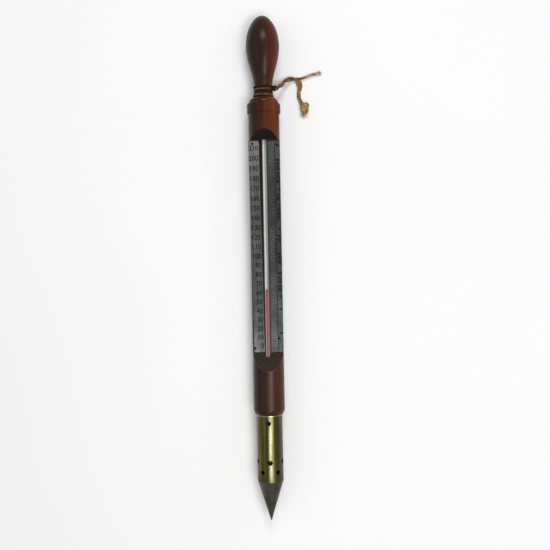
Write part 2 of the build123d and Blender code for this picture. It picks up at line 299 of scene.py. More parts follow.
def stock_wood_material():
    """The stock's wood, with bare dark ramps at the ends of its flat, a pale line round each that stands for
    wear and a painted highlight on the edge, and a slot painted dark with shade on the left and painted
    lighter on the right for light off the glass's edge."""
    s, base = wood("stock_wood")
    along, height = s.split(s.place)[1:3]
    normal = s.node("ShaderNodeNewGeometry").outputs["True Normal"]
    tilt = s.split(normal)[1]
    scuffs = s.noise((700, 300, 700), detail=5)
    for (foot_y, foot_z, slope, facing), dark, light, edge_wear_and_highlight in RAMPS:
        rise = s.math("MULTIPLY", s.math("SUBTRACT", along, foot_y), slope)
        gap = s.math("ABSOLUTE", s.math("SUBTRACT", s.math("SUBTRACT", height, foot_z), rise), 0.0)
        beyond = s.math("GREATER_THAN", s.math("MULTIPLY", along, -facing), -foot_y * facing)
        near = s.math("MULTIPLY", s.math("SUBTRACT", 1.0, s.share(gap, 0.12 * MM, 0.5 * MM)), beyond)
        cut = s.math("MULTIPLY", s.share(s.math("MULTIPLY", tilt, facing), 0.3, 0.45), beyond)
        line = s.math("MULTIPLY", near, s.math("SUBTRACT", 1.0, cut))
        base = s.mix(cut, base, s.ramp(scuffs, (0.3, dark), (0.7, light)))
        line = s.math("MULTIPLY", line, s.share(scuffs, 0.35, 0.6))
        # The pale line along each ramp's edge: partly wear, partly a painted highlight.
        base = s.mix(s.math("MULTIPLY", line, edge_wear_and_highlight), base, (0.12, 0.075, 0.04))
    # The slot beside the stem: painted shade, dark red-brown, on its left and painted light, grey, on its
    # right.
    aside = s.math("ABSOLUTE", s.split(s.place)[0], 0.0)
    below_strips = s.share(height, axis_z + 3.4 * MM, axis_z + 3.2 * MM)
    slot = s.math("MULTIPLY", s.share(aside, SLOT_HALF_WIDTH, SLOT_HALF_WIDTH - 0.3 * MM), below_strips)
    slot = s.math("MULTIPLY", slot, s.share(height, axis_z - 1 * MM, axis_z))
    side = s.across(-SLOT_HALF_WIDTH, SLOT_HALF_WIDTH)
    dust_and_painted_light = s.ramp(side, (0.5, (0.014, 0.004, 0.0035)), (0.7, (0.07, 0.07, 0.065)))
    base = s.mix(slot, base, dust_and_painted_light)
    s.colour(base)
    return s.material


BEADS_Y = (tip_y + 319.6 * MM, tip_y + 324.0 * MM)


def handle_wood_material():
    """The handle's wood, with painted highlights: pale patches on the tops of the two beads."""
    s, base = wood("handle_wood")
    along = s.split(s.place)[1]
    patches = s.share(s.noise((260, 500, 260), detail=3), 0.42, 0.62)
    # Painted highlight on each bead's crest, in patches.
    for bead_y in BEADS_Y:
        away = s.math("ABSOLUTE", s.math("SUBTRACT", along, bead_y), 0.0)
        bead_highlight = s.math("MULTIPLY", s.share(away, 0.9 * MM, 0.4 * MM), patches)
        base = s.mix(s.math("MULTIPLY", bead_highlight, 0.7), base, (0.19, 0.105, 0.07))
    s.colour(base)
    return s.material


def plate_metal(name, tones):
    """Aged grey plate: tone that drifts along the strip, mottled tarnish, fine scratches."""
    s = Surface(name, (0.1, 0.1, 0.1), 0.5, metallic=0.55)
    along = s.share(s.split(s.place)[1], left_low.y, left_high.y)
    clouds = s.noise((260, 90, 260), detail=8, roughness=0.65)
    specks = s.noise((1500, 1500, 1500), detail=3)
    scratches = s.noise((3800, 60, 3800), detail=3)
    base = s.ramp(along, *tones)
    base = s.mix(0.8, base, s.ramp(clouds, (0.32, 0.62), (0.55, 1.0), (0.75, 1.7)), "MULTIPLY")
    base = s.mix(0.5, base, s.ramp(specks, (0.35, 0.6), (0.65, 1.4)), "MULTIPLY")
    base = s.mix(0.4, base, s.ramp(scratches, (0.4, 0.75), (0.64, 1.6)), "MULTIPLY")
    s.colour(base)
    s.rough(s.ramp(clouds, (0.3, 0.62), (0.7, 0.42)))
    s.bump(s.mix(0.5, s.ramp(specks, (0, 0.0), (1, 1.0)), s.ramp(scratches, (0, 0.0), (1, 1.0))), 0.02 * MM)
    return s.material


def guard_metal():
    """Polished but tarnished brass, streaked along the tube, with a painted highlight along its middle and
    painted reflections towards its sides, and a bright rim at its upper end.
    """
    s = Surface("guard_brass", (0.12, 0.11, 0.03), 0.24, metallic=1.0)
    streaks = s.noise((420, 10, 420), detail=5, roughness=0.55, distortion=0.3)
    clouds = s.noise((150, 60, 150), detail=6)
    spots = s.noise((1100, 1100, 1100), detail=4)
    base = s.ramp(
        streaks,
        (0.34, (0.110, 0.075, 0.040)),
        (0.47, (0.160, 0.145, 0.036)),
        (0.56, (0.240, 0.230, 0.080)),
        (0.70, (0.140, 0.118, 0.042)),
    )
    # Painted highlight and painted reflections: a bright band along the tube's middle and tinted bands
    # towards its sides.
    sides = s.ramp(
        s.across(-GUARD_RADIUS, GUARD_RADIUS, 0.10),
        (0.00, (0.60, 0.50, 0.90)),
        (0.12, (0.70, 0.64, 0.60)),
        (0.24, (0.66, 0.68, 0.42)),
        (0.40, (0.52, 0.47, 0.52)),
        (0.50, (0.95, 1.00, 1.70)),
        (0.58, (0.95, 1.00, 1.85)),
        (0.65, (0.60, 0.62, 0.45)),
        (0.82, (0.56, 0.45, 0.85)),
    )
    base = s.mix(1.0, base, sides, "MULTIPLY")
    base = s.mix(0.5, base, s.ramp(clouds, (0.3, 0.55), (0.7, 1.35)), "MULTIPLY")
    base = s.mix(0.35, base, s.ramp(spots, (0.30, 0.4), (0.55, 1.1)), "MULTIPLY")
    along = s.split(s.place)[1]
    rim = s.share(along, guard_high.y - 0.7 * MM, guard_high.y - 0.2 * MM)
    base = s.mix(s.math("MULTIPLY", rim, 0.7), base, (0.62, 0.58, 0.36))
    dull = s.share(along, guard_low.y + 9 * MM, guard_low.y)
    base = s.mix(s.math("MULTIPLY", dull, 0.55), base, (0.060, 0.054, 0.036))
    s.colour(base)
    s.rough(s.math("ADD", s.ramp(clouds, (0.3, 0.34), (0.7, 0.25)), s.math("MULTIPLY", dull, 0.14)))
    s.bump(s.mix(0.5, s.ramp(spots, (0, 0.0), (1, 1.0)), s.ramp(streaks, (0, 0.0), (1, 1.0))), 0.012 * MM)
    return s.material


def point_metal():
    """The point's dull brown-grey brass, with faint turning lines."""
    s = Surface("point_brass", (0.1, 0.095, 0.07), 0.46, metallic=0.85)
    clouds = s.noise((130, 80, 130), detail=7, roughness=0.6)
    lines = s.noise((25, 4200, 25), detail=2)
    spots = s.noise((1200, 1200, 1200), detail=4)
    base = s.ramp(
        clouds,
        (0.30, (0.050, 0.048, 0.030)),
        (0.52, (0.085, 0.080, 0.062)),
        (0.75, (0.130, 0.120, 0.100)),
    )
    base = s.mix(0.4, base, s.ramp(spots, (0.32, 0.55), (0.6, 1.15)), "MULTIPLY")
    s.colour(base)
    s.rough(s.ramp(clouds, (0.3, 0.52), (0.7, 0.40)))
    s.bump(s.mix(0.4, s.ramp(lines, (0, 0.0), (1, 1.0)), s.ramp(spots, (0, 0.0), (1, 1.0))), 0.02 * MM)
    return s.material


def iron():
    s = Surface("dark_iron", (0.01, 0.006, 0.006), 0.8, Specular_IOR_Level=0.08)
    rust = s.noise((1800, 1800, 1800), detail=5)
    s.colour(s.ramp(rust, (0.35, (0.005, 0.003, 0.003)), (0.7, (0.026, 0.012, 0.010))))
    s.bump(rust, 0.03 * MM)
    return s.material


def engraving(name, dark, light, in_runs=False):
    """Filling or bare floor of the engraved marks, if wanted in lighter and darker runs along the strip."""
    s = Surface(name, dark, 0.8, Specular_IOR_Level=0.1)
    dust_and_painted_light = s.noise((2600, 2600, 2600), detail=4)
    base = s.ramp(dust_and_painted_light, (0.35, dark), (0.7, light))
    if in_runs:
        base = s.mix(s.share(s.noise((20, 60, 20), detail=2), 0.40, 0.60), dark, base)
    s.colour(base)
    return s.material


def glass():
    """Glass with painted light and reflection: the stem is white on the left and grey on the right, denser
    and greyish at its edges and clear along the middle; the bulb is clear, its faint tint nearly black as
    painted shade inside the guard.
    """
    s = Surface("clear_glass", (0.6, 0.6, 0.58), 0.12, IOR=1.48, Specular_IOR_Level=0.3)
    side = s.across(-STEM_RADIUS, STEM_RADIUS)
    stem = s.share(s.split(s.place)[1], tip_y + 60 * MM, tip_y + 64 * MM)
    # Painted light and reflection across the stem: white on the left, grey on the right and at the edges.
    tone = s.ramp(
        side,
        (0.02, (0.36, 0.36, 0.34)),
        (0.16, (0.90, 0.90, 0.86)),
        (0.46, (0.74, 0.75, 0.72)),
        (0.56, (0.36, 0.37, 0.36)),
        (0.68, (0.44, 0.45, 0.43)),
        (0.90, (0.32, 0.33, 0.31)),
    )
    cover = s.ramp(side, (0.02, 0.75), (0.14, 0.50), (0.24, 0.06), (0.72, 0.06), (0.88, 0.42), (0.98, 0.55))
    # Below the stem the glass is tinted nearly black, painted shade inside the guard.
    s.colour(s.mix(stem, (0.02, 0.01, 0.01), tone))
    s.link(s.mix(stem, (0.06, 0.06, 0.06), cover), s.shader.inputs["Alpha"])
    smears = s.noise((500, 60, 500), detail=4)
    s.rough(s.ramp(smears, (0.4, 0.08), (0.8, 0.18)))
    return s.material


def enamel():
    """White backing with painted light and shade: bright on one side of the bore and grey on the other."""
    s = Surface("white_enamel", (0.6, 0.6, 0.58), 0.35)
    age = s.noise((900, 50, 900), detail=4)
    # Painted light and shade across the backing: bright on the left, grey on the right.
    side = s.ramp(
        s.across(-BACKING_REACH, BACKING_REACH),
        (0.05, (0.66, 0.66, 0.64)),
        (0.28, (0.74, 0.74, 0.71)),
        (0.44, (0.44, 0.45, 0.43)),
        (0.58, (0.26, 0.27, 0.26)),
        (0.74, (0.36, 0.37, 0.36)),
        (0.95, (0.32, 0.33, 0.32)),
    )
    s.colour(s.mix(0.5, side, s.ramp(age, (0.3, 0.75), (0.6, 1.1)), "MULTIPLY"))
    return s.material


def spirit():
    """Red spirit with painted light as the round stem shows it: pale on the left, deep in the middle, tan on
    the right.
    """
    s = Surface("red_spirit", (0.4, 0.02, 0.04), 0.2, Specular_IOR_Level=0.4)
    # Painted light across the column: pale on the left, tan on the right.
    side = s.ramp(
        s.across(-COLUMN_REACH, COLUMN_REACH),
        (0.04, (0.78, 0.36, 0.40)),
        (0.17, (0.50, 0.070, 0.12)),
        (0.32, (0.30, 0.012, 0.042)),
        (0.62, (0.19, 0.008, 0.018)),
        (0.78, (0.30, 0.085, 0.050)),
        (0.95, (0.50, 0.32, 0.21)),
    )
    depth = s.noise((300, 40, 300), detail=3)
    s.colour(s.mix(0.5, side, s.ramp(depth, (0.3, 0.75), (0.7, 1.2)), "MULTIPLY"))
    return s.material


def dark_spirit():
    """Spirit in the bulb, seen only through the vents and the tinted glass, coloured nearly black as painted
    shade inside the guard.
    """
    s = Surface("bulb_spirit", (0.03, 0.004, 0.006), 0.4)
    # Nearly black red: painted shade inside the guard.
    stain = s.noise((400, 400, 400), detail=3)
    s.colour(s.ramp(stain, (0.3, (0.014, 0.003, 0.004)), (0.7, (0.04, 0.007, 0.009))))
    return s.material


def cork():
    s = Surface("cork", (0.5, 0.33, 0.18), 0.85)
    cells = s.noise((1200, 1200, 1200), detail=5)
    s.colour(s.ramp(cells, (0.3, (0.25, 0.14, 0.07)), (0.65, (0.58, 0.4, 0.23))))
    s.bump(cells, 0.1 * MM)
    return s.material


def bast(name, dark, middle, light, sheen=0.12):
    """Rough bast twine: fibres of uneven colour and a matte fuzz."""
    s = Surface(name, middle, 0.8, Sheen_Weight=sheen, Sheen_Roughness=0.5, Specular_IOR_Level=0.2)
    s.shader.inputs["Sheen Tint"].default_value = (0.9, 0.75, 0.6, 1)
    fibres = s.noise((2400, 2400, 2400), detail=6, roughness=0.7)
    patches = s.noise((330, 330, 330), detail=3)
    base = s.ramp(fibres, (0.3, dark), (0.5, middle), (0.70, light))
    s.colour(s.mix(0.85, base, s.ramp(patches, (0.32, 0.40), (0.55, 0.95), (0.72, 1.7)), "MULTIPLY"))
    s.bump(fibres, 0.15 * MM)
    return s.material


def floor_material():
    s = Surface("pale_floor", (0.9, 0.9, 0.9), 0.75)
    tone = s.noise((3, 3, 3), detail=2)
    s.colour(s.ramp(tone, (0.3, (0.89, 0.89, 0.89)), (0.7, (0.91, 0.91, 0.91))))
    return s.material


# Tones along each strip from its lower to its upper end; the right strip's tones are darker than the left's
# all along.
LEFT_TONES = (
    (0.00, (0.160, 0.168, 0.164)),
    (0.10, (0.085, 0.082, 0.080)),
    (0.30, (0.060, 0.066, 0.066)),
    (0.65, (0.066, 0.072, 0.070)),
    (0.85, (0.090, 0.096, 0.090)),
    (1.00, (0.190, 0.188, 0.175)),
)
RIGHT_TONES = (
    (0.00, (0.085, 0.096, 0.094)),
    (0.20, (0.052, 0.061, 0.059)),
    (0.45, (0.028, 0.033, 0.032)),
    (0.75, (0.028, 0.032, 0.030)),
    (0.93, (0.042, 0.048, 0.045)),
    (1.00, (0.070, 0.077, 0.074)),
)
stock_wood = stock_wood_material()
handle_wood = handle_wood_material()
left_metal = plate_metal("scale_metal_left", LEFT_TONES)
right_metal = plate_metal("scale_metal_right", RIGHT_TONES)
dark_fill = engraving("dark_filling", (0.002, 0.002, 0.002), (0.010, 0.010, 0.009))
bare_fill = engraving("bare_engraving", (0.016, 0.019, 0.018), (0.44, 0.47, 0.46), in_runs=True)
pin_iron = iron()
guard_brass = guard_metal()
point_brass = point_metal()
clear_glass = glass()
white_enamel = enamel()
red_spirit = spirit()
bulb_red = dark_spirit()
cork_brown = cork()
twine_brown = bast("twine_brown", (0.030, 0.014, 0.008), (0.115, 0.054, 0.028), (0.36, 0.22, 0.14))
twine_ochre = bast("twine_ochre", (0.110, 0.055, 0.014), (0.40, 0.230, 0.060), (0.75, 0.52, 0.22))
twine_tan = bast("twine_tan", (0.09, 0.045, 0.022), (0.26, 0.140, 0.072), (0.52, 0.33, 0.20))
twine_dark = bast(
    "twine_dark", (0.004, 0.003, 0.002), (0.014, 0.010, 0.006), (0.045, 0.030, 0.018), sheen=0.02
)
twine_pale = bast("twine_pale", (0.30, 0.19, 0.13), (0.60, 0.43, 0.32), (0.85, 0.71, 0.58))


def paint(node, material):
    """Give a CAD node its material."""
    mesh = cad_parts[node].data
    mesh.materials.clear()
    mesh.materials.append(material)
    for polygon in mesh.polygons:
        polygon.material_index = 0


for node, material in (
    ("stock", stock_wood),
    ("handle", handle_wood),
    ("plate_pins", pin_iron),
    ("guard_pins", pin_iron),
    ("enamel_backing", white_enamel),
    ("bulb_spirit", bulb_red),
    ("spirit_meniscus", red_spirit),
    ("stem_packing", cork_brown),
    ("guard_tube", guard_brass),
    ("guard_point", point_brass),
):
    paint(node, material)


# ---------------------------------------------------------------- mesh helpers

def make_piece(name, vertices, faces, *materials, smooth=True, indices=None):
    mesh = bpy.data.meshes.new(name)
    mesh.from_pydata([tuple(v) for v in vertices], [], faces)
    mesh.update()
    piece = bpy.data.objects.new(name, mesh)
    bpy.context.scene.collection.objects.link(piece)
    for material in materials:
        mesh.materials.append(material)
    if smooth:
        mesh.shade_smooth()
    if indices is not None:
        mesh.polygons.foreach_set("material_index", indices)
    return piece


def resampled(points, step):
    """The same line with points about step apart."""
    points = np.array([tuple(p) for p in points], float)
    along = np.concatenate([[0], np.cumsum(np.linalg.norm(np.diff(points, axis=0), axis=1))])
    at = np.linspace(0, along[-1], max(3, int(math.ceil(along[-1] / step)) + 1))
    return np.stack([np.interp(at, along, points[:, k]) for k in range(3)], axis=1)


def spline_points(route, step):
    """Evenly spaced points on the smooth line that a route of control points gives."""
    data = bpy.data.curves.new("route", "CURVE")
    data.dimensions = "3D"
    spline = data.splines.new("NURBS")
    spline.points.add(len(route) - 1)
    for point, place in zip(spline.points, route):
        point.co = (*place, 1)
    spline.order_u = 3
    spline.use_endpoint_u = True
    data.resolution_u = 16
    bare = bpy.data.objects.new("route", data)
    mesh = bpy.data.meshes.new_from_object(bare)
    points = [v.co.copy() for v in mesh.vertices]
    bpy.data.objects.remove(bare)
    return resampled(points, step)


def frames_along(points, closed=False):
    """Two directions across a line at each point, turning as little as possible along it."""
    if closed:
        tangents = np.roll(points, -1, axis=0) - np.roll(points, 1, axis=0)
    else:
        tangents = np.gradient(points, axis=0)
    tangents /= np.linalg.norm(tangents, axis=1)[:, None]
    side = np.cross(tangents[0], (0.0, 0.0, 1.0))
    if np.linalg.norm(side) < 1e-3:
        side = np.cross(tangents[0], (0.0, 1.0, 0.0))
    across = []
    for tangent in tangents:
        side = side - tangent * (side @ tangent)
        side = side / np.linalg.norm(side)
        across.append(side)
    across = np.array(across)
    return across, np.cross(tangents, across)


def tube(points, radii, sides=8, closed=False):
    """Vertices and faces of a round tube with a radius at each point."""
    across, up = frames_along(points, closed)
    turns = np.arange(sides) * 2 * math.pi / sides
    ring = np.cos(turns)[None, :, None] * across[:, None] + np.sin(turns)[None, :, None] * up[:, None]
    vertices = (points[:, None] + ring * np.asarray(radii)[:, None, None]).reshape(-1, 3)
    faces = []
    count = len(points)
    for i in range(count if closed else count - 1):
        j = (i + 1) % count
        for k in range(sides):
            m = (k + 1) % sides
            faces.append((i * sides + k, i * sides + m, j * sides + m, j * sides + k))
    if not closed:
        faces.append(tuple(range(sides - 1, -1, -1)))
        faces.append(tuple((count - 1) * sides + k for k in range(sides)))
    return vertices, faces


class Bundle:
    """Several tubes gathered into one mesh."""

    def __init__(self):
        self.vertices, self.faces, self.indices = [], [], []

    def add(self, points, radii, sides=8, closed=False, index=0):
        vertices, faces = tube(points, radii, sides, closed)
        start = len(self.vertices)
        self.vertices.extend(map(tuple, vertices))
        self.faces.extend(tuple(start + i for i in face) for face in faces)
        self.indices.extend([index] * len(faces))

    def piece(self, name, *materials):
        return make_piece(name, self.vertices, self.faces, *materials, indices=self.indices)


# ---------------------------------------------------------------- twine

LINE_STEP = 0.25 * MM  # between the points of a strand's line
TWINE_DIAMETER = 2.0 * MM
STRAND_RADIUS = TWINE_DIAMETER / 2
REST_HEIGHT = 1.15 * STRAND_RADIUS  # of a strand's middle, so that its thickest plies just reach the floor
PLY_COUNT = 3
PLY_PITCH = 7.0 * MM
PAIR_PITCH = 17.0 * MM
PAIR_OFFSET = 0.85 * MM
FIBRE_RADIUS = 0.17 * MM

pair_route = [
    (8.6, 134.4, 12.4),
    (11.2, 136.2, 10.4),
    (14.4, 139.6, 7.2),
    (17.2, 143.3, 4.4),
    (21.4, 145.0, 2.3),
    (25.8, 144.9, 1.5),
]
upper_tail_route = [
    (25.8, 144.9, 1.5),
    (29.4, 145.3, 1.15),
    (33.6, 146.9, 1.05),
    (38.2, 148.5, 1.05),
    (42.6, 149.2, 1.05),
]
lower_tail_route = [
    (25.8, 144.9, 1.5),
    (27.6, 142.0, 1.2),
    (28.2, 138.5, 1.05),
    (27.4, 134.9, 1.05),
    (27.0, 131.4, 1.05),
    (28.2, 128.1, 1.25),
    (30.2, 125.2, 2.2),
]


def metres(route):
    return [tuple(c * MM for c in point) for point in route]


def distances(points):
    """How far along a line each of its points is."""
    return np.concatenate([[0], np.cumsum(np.linalg.norm(np.diff(points, axis=0), axis=1))])


def on_floor(points, radius):
    points[:, 2] = np.maximum(points[:, 2], radius)
    return points


def plies(bundle, points, radius, closed=False, seed=0, indices=(0, 0, 0)):
    """Plies twisted round a line, of uneven thickness, within a radius of it."""
    rng = np.random.default_rng(SEED + seed)
    across, up = frames_along(points, closed)
    along = distances(points)
    total = along[-1] + (np.linalg.norm(points[0] - points[-1]) if closed else 0)
    turns = max(1, round(total / PLY_PITCH)) if closed else total / PLY_PITCH
    for ply in range(PLY_COUNT):
        angle = 2 * math.pi * (ply / PLY_COUNT + turns * along / total)
        way = np.cos(angle)[:, None] * across + np.sin(angle)[:, None] * up
        lump = sum(
            np.sin(2 * math.pi * wave * along / total + rng.uniform(0, 6.3)) / wave**0.5
            for wave in (5, 9, 14, 23)
        )
        radii = radius * 0.55 * (1 + 0.11 * lump)
        bundle.add(points + way * (radius * 0.45), radii, 9, closed, indices[ply])


def ribbon(bundle, points, widths, thickness, count, seed, spread=0.6, index=0):
    """Fibres side by side that make a flat band of the given width at each point."""
    rng = np.random.default_rng(SEED + seed)
    across, up = frames_along(points)
    along = distances(points) / MM
    for fibre in range(count):
        place = (fibre + 0.5) / count - 0.5
        phase = rng.uniform(0, 6.3, 4)
        drift = 0.10 * np.sin(along * spread + phase[0]) + 0.06 * np.sin(along * 2.1 * spread + phase[1])
        lift = 0.5 * np.sin(along * 0.8 * spread + phase[2]) + 0.3 * np.sin(along * 1.9 * spread + phase[3])
        line = points + across * ((place + drift) * widths)[:, None] + up * (lift * thickness)[:, None]
        radii = FIBRE_RADIUS * (1 + 0.3 * np.sin(along * 1.3 + phase[2])) * rng.uniform(0.8, 1.3)
        bundle.add(on_floor(line, FIBRE_RADIUS), radii, 6, index=index)


def hairs(bundle, points, count, radius, length, seed, index=0):
    """Loose fibres that leave a strand at a low angle and bend."""
    rng = np.random.default_rng(SEED + seed)
    across, up = frames_along(points)
    tangents = np.gradient(points, axis=0)
    tangents /= np.linalg.norm(tangents, axis=1)[:, None]
    t = np.linspace(0, 1, 6)[:, None]
    for _ in range(count):
        i = rng.integers(2, len(points) - 2)
        angle = rng.uniform(0, 2 * math.pi)
        outward = math.cos(angle) * across[i] + math.sin(angle) * up[i]
        ahead = tangents[i] * rng.choice((-1, 1))
        reach = length * rng.uniform(0.4, 1.0)
        lift = rng.uniform(0.2, 0.6)
        bend = np.cross(ahead, outward) * rng.uniform(-0.5, 0.5)
        away = outward * (radius * 0.7 + reach * lift * t**1.3)
        line = points[i] + away + (ahead * t + bend * t * t) * reach * 0.8
        bundle.add(on_floor(line, 0.06 * MM), np.linspace(0.05, 0.02, 6) * MM, 3, index=index)


def wisps(bundle, starts, aims, bow, thick, thin, index=0):
    """Single fibres from each start to its aim, bowed sideways."""
    t = np.linspace(0, 1, 7)[:, None]
    for start, aim, side in zip(starts, aims, bow):
        line = start * (1 - t) + aim * t + side * (4 * t * (1 - t))
        bundle.add(on_floor(line, 0.1 * MM), np.linspace(thick, thin, 7), 4, index=index)


def scattered(rng, centre, spread, count):
    """Places round a centre, spread by a distance along each axis."""
    return np.array(centre) + rng.normal(0, 1, (count, 3)) * np.array(spread)


def pair_line(tail_route, side):
    """One strand's line, wound round the other as far as the fork and then along its own tail, and how
    far along the fork is."""
    centre = spline_points(metres(pair_route + tail_route[1:]), 0.4 * MM)
    across, up = frames_along(centre)
    along = distances(centre)
    fork = distances(np.array(metres(pair_route)))[-1]
    away = PAIR_OFFSET * np.clip((fork + 2 * MM - along) / (6 * MM), 0, 1)
    away *= np.clip(along / (3 * MM), 0.25, 1)
    angle = side + 2 * math.pi * along / PAIR_PITCH
    way = np.cos(angle)[:, None] * across + np.sin(angle)[:, None] * up
    return resampled(on_floor(centre + way * away[:, None], REST_HEIGHT), LINE_STEP), fork


def strand_piece(name, bundle, *replaced):
    """A piece of twine; its tubes' indices 0 to 3 are brown, ochre, pale and tan."""
    piece = bundle.piece(name, twine_brown, twine_ochre, twine_pale, twine_tan)
    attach(piece, "case")
    if replaced:
        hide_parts(*replaced)
    return piece


def upper_strand():
    """One strand, its last stretch thicker, paler and fuzzier."""
    line, _ = pair_line(upper_tail_route, 0.0)
    bundle = Bundle()
    last = int(12 * MM / LINE_STEP)
    plies(bundle, line[: 4 - last], STRAND_RADIUS, seed=1, indices=(0, 3, 0))
    plies(bundle, line[-last:], 1.12 * STRAND_RADIUS, seed=7, indices=(2, 2, 3))
    hairs(bundle, line, 150, STRAND_RADIUS, 1.6 * MM, 2)
    hairs(bundle, line[-last:], 90, STRAND_RADIUS, 1.8 * MM, 8, index=2)
    return strand_piece("twine_upper_strand", bundle, "twine_pair", "twine_upper_tail"), line


def lower_strand():
    """The other strand: round as far as the fork, then untwisted into a flat ochre band."""
    line, fork = pair_line(lower_tail_route, math.pi)
    along = distances(line)
    start = int(np.searchsorted(along, fork - 1.5 * MM))
    bundle = Bundle()
    plies(bundle, line[: start + 8], STRAND_RADIUS, seed=3)
    hairs(bundle, line[: start + 8], 70, STRAND_RADIUS, 1.4 * MM, 4)
    band = line[start:]
    after = (along[start:] - along[start]) / MM
    widths = np.interp(after, (0, 3, 6, 10, 13, 17, 30), (1.8, 3.2, 4.3, 3.9, 2.5, 2.5, 3.2)) * MM
    ribbon(bundle, band, widths, 0.45 * MM, 16, seed=5, index=1)
    ribbon(bundle, band, widths * 0.8, 0.6 * MM, 5, seed=9, index=0)
    hairs(bundle, band, 60, STRAND_RADIUS, 1.8 * MM, 6, index=2)
    return strand_piece("twine_lower_strand", bundle, "twine_pair", "twine_lower_tail"), line


def ring(radius, y, tilt, count=160):
    """A circle round the neck, its right side leaning towards +Y by tilt."""
    angles = np.linspace(0, 2 * math.pi, count, endpoint=False)
    x, z = radius * np.cos(angles), radius * np.sin(angles)
    return np.stack([x, y + tilt * np.cos(angles), axis_z + z], axis=1)


def neck_turns():
    """Turns of twine in the neck's grooves, their ends led to the right side and hitched together."""
    bundle = Bundle()
    thin = 0.8 * MM
    exit_at = np.array(metres(pair_route)[0])
    for number, (radius, y) in enumerate(((6.6 * MM, wraps_low.y + thin), (6.9 * MM, wraps_high.y - thin))):
        turn = ring(radius, y, 0.12 * MM)
        plies(bundle, turn, thin, closed=True, seed=10 + number)
        hairs(bundle, turn, 40, thin, 1.0 * MM, 20 + number)
        lead = []
        for angle, out, toward in ((80, 0.1, 0.0), (58, 0.5, 0.15), (36, 1.1, 0.45), (16, 1.6, 0.8)):
            reach = radius + out * MM
            turned = math.radians(angle)
            lead.append((
                reach * math.cos(turned),
                y * (1 - toward) + exit_at[1] * toward,
                axis_z + reach * math.sin(turned),
            ))
        line = spline_points(lead + [tuple(exit_at)], LINE_STEP)
        plies(bundle, line, 0.72 * MM, seed=14 + number)
        hairs(bundle, line, 40, thin, 1.2 * MM, 24 + number)
    t = np.linspace(0, 2 * math.pi, 90, endpoint=False)
    hitch = np.stack([np.sin(t) + np.sin(2 * t), np.cos(t) - np.cos(2 * t), -np.sin(3 * t)], axis=1)
    hitch = hitch * np.array([0.75, 1.05, 0.6]) * MM + exit_at + np.array([-0.5, 1.2, 0.9]) * MM
    plies(bundle, hitch, 0.75 * MM, closed=True, seed=17)
    hairs(bundle, hitch, 50, thin, 1.8 * MM, 27)
    piece = bundle.piece("twine_turns", twine_dark)
    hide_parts("twine_wraps")
    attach(piece, "case")


def tail_knot():
    """A pulled-up overhand knot, with the frayed end below it."""
    rng = np.random.default_rng(SEED + 33)
    middle = np.array((knot_low + knot_high) / 2)
    t = np.linspace(0, 2 * math.pi, 170, endpoint=False)
    loop = np.stack(
        [np.sin(t) + 1.6 * np.sin(2 * t), np.cos(t) - 1.9 * np.cos(2 * t), -np.sin(3 * t)], axis=1
    )
    bundle = Bundle()
    # turn about Z, size and shift in millimetres, thickness and each ply's colour
    coils = (
        (2.1, (1.00, 1.10, 0.80), (0.0, 1.1, 0.0), 1.1, (0, 1, 1)),
        (0.6, (1.00, 1.15, 0.75), (0.2, -0.6, 0.3), 1.0, (1, 1, 3)),
        (3.9, (0.95, 1.30, 0.60), (-0.3, 0.1, 0.6), 0.9, (1, 1, 1)),
    )
    for number, (turn, size, shift, thick, indices) in enumerate(coils):
        coil = loop.copy()
        coil[:, 0] = loop[:, 0] * math.cos(turn) - loop[:, 1] * math.sin(turn)
        coil[:, 1] = loop[:, 0] * math.sin(turn) + loop[:, 1] * math.cos(turn)
        coil = (coil * np.array(size) + np.array(shift)) * MM + middle
        plies(bundle, coil, thick * MM, closed=True, seed=31 + number, indices=indices)
    hairs(bundle, loop * 0.8 * MM + middle, 90, STRAND_RADIUS, 2.0 * MM, 36, index=1)
    count = 60
    root = middle + np.array([-0.1, -2.6, -0.5]) * MM
    starts = scattered(rng, root, np.array([0.7, 0.7, 0.5]) * MM, count)
    aims = scattered(rng, np.array([30.7, 116.6, 1.0]) * MM, np.array([1.2, 1.2, 0.4]) * MM, count)
    wisps(bundle, starts, aims, rng.normal(0, 0.25, (count, 3)) * MM, 0.14 * MM, 0.04 * MM, index=2)
    return strand_piece("twine_knot_tied", bundle, "twine_knot")


def frayed_tip(line):
    """Fibres that open out past the end of the upper tail."""
    rng = np.random.default_rng(SEED + 41)
    end, ahead = line[-1], line[-1] - line[-8]
    ahead = ahead / np.linalg.norm(ahead)
    count = 90
    starts = end - ahead * rng.uniform(1.0, 4.0, (count, 1)) * MM + rng.normal(0, 0.35, (count, 3)) * MM
    aims = end + ahead * rng.uniform(0.2, 2.4, (count, 1)) * MM
    aims = aims + rng.normal(0, 1, (count, 3)) * np.array([0.5, 0.8, 0.5]) * MM
    bundle = Bundle()
    wisps(bundle, starts, aims, rng.normal(0, 0.15, (count, 3)) * MM, 0.17 * MM, 0.05 * MM, index=2)
    return strand_piece("twine_frayed_tip", bundle)


neck_turns()
upper_piece, upper_line = upper_strand()
lower_piece, lower_line = lower_strand()
knot_piece = tail_knot()
tip_piece = frayed_tip(upper_line)


# ---------------------------------------------------------------- scale strips

